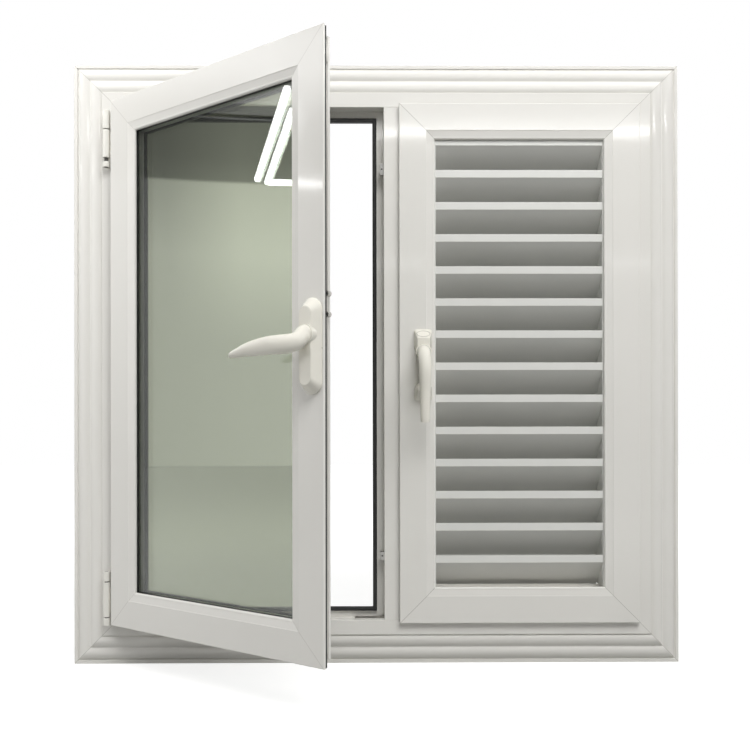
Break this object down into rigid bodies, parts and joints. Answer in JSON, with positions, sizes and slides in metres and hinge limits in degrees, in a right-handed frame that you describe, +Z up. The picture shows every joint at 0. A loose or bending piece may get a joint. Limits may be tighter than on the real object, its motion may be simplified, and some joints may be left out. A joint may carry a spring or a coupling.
{
  "type": "double casement window",
  "caption": "Aluminium double casement window with a reeded casing frame: one glazed sash open inward on side hinges, one closed sash with fixed louvre blades.",
  "frame": {"origin": "middle of the flat back of the sill's casing flange, where it lies against the wall round the opening", "axes": "+X to the right seen from the room, +Z up, +Y out of the room into the wall: the outward normal of the casing's back"},
  "size_m": [0.905, 0.3378, 0.895],
  "materials": {
    "white_coat": "gloss powder coat",
    "louvre_coat": "gloss powder coat",
    "hinge_coat": "gloss paint",
    "hinge_pin_steel": "bare",
    "black_rubber": "matt",
    "tinted_glass": "polished",
    "spacer_metal": "mill",
    "handle_coat": "gloss powder coat",
    "lock_metal": "zinc plated",
    "keeper_metal": "satin"
  },
  "bodies": {
    "root": {"frame_head": "white_coat", "frame_sill": "white_coat", "frame_left_jamb": "white_coat", "frame_right_jamb": "white_coat", "mullion": "white_coat", "left_sash_top_rail": "white_coat", "left_sash_bottom_rail": "white_coat", "left_sash_hinge_stile": "white_coat", "left_sash_lock_stile": "white_coat", "left_cross_beads": "white_coat", "left_upright_beads": "white_coat", "right_sash_top_rail": "white_coat", "right_sash_bottom_rail": "white_coat", "right_sash_lock_stile": "white_coat", "right_sash_hinge_stile": "white_coat", "right_cross_beads": "white_coat", "right_upright_beads": "white_coat", "louvre_blades": "louvre_coat", "louvre_left_carrier": "louvre_coat", "louvre_right_carrier": "louvre_coat", "top_hinge_frame_leaf": "hinge_coat", "top_hinge_sash_leaf": "hinge_coat", "bottom_hinge_frame_leaf": "hinge_coat", "bottom_hinge_sash_leaf": "hinge_coat", "top_hinge_pin": "hinge_pin_steel", "bottom_hinge_pin": "hinge_pin_steel", "left_stop_gasket": "black_rubber", "right_stop_gasket": "black_rubber", "left_bead_gasket": "black_rubber", "left_rear_gasket": "black_rubber", "left_flange_seal": "black_rubber", "right_flange_seal": "black_rubber", "left_inner_pane": "tinted_glass", "left_outer_pane": "tinted_glass", "left_spacer": "spacer_metal", "left_handle_base": "handle_coat", "left_handle_lever": "handle_coat", "right_handle_base": "handle_coat", "right_handle_lever": "handle_coat", "lock_strip": "lock_metal", "lock_block": "lock_metal", "sill_keeper": "lock_metal", "upper_keeper": "keeper_metal", "lower_keeper": "keeper_metal"}
  },
  "joints": []
}
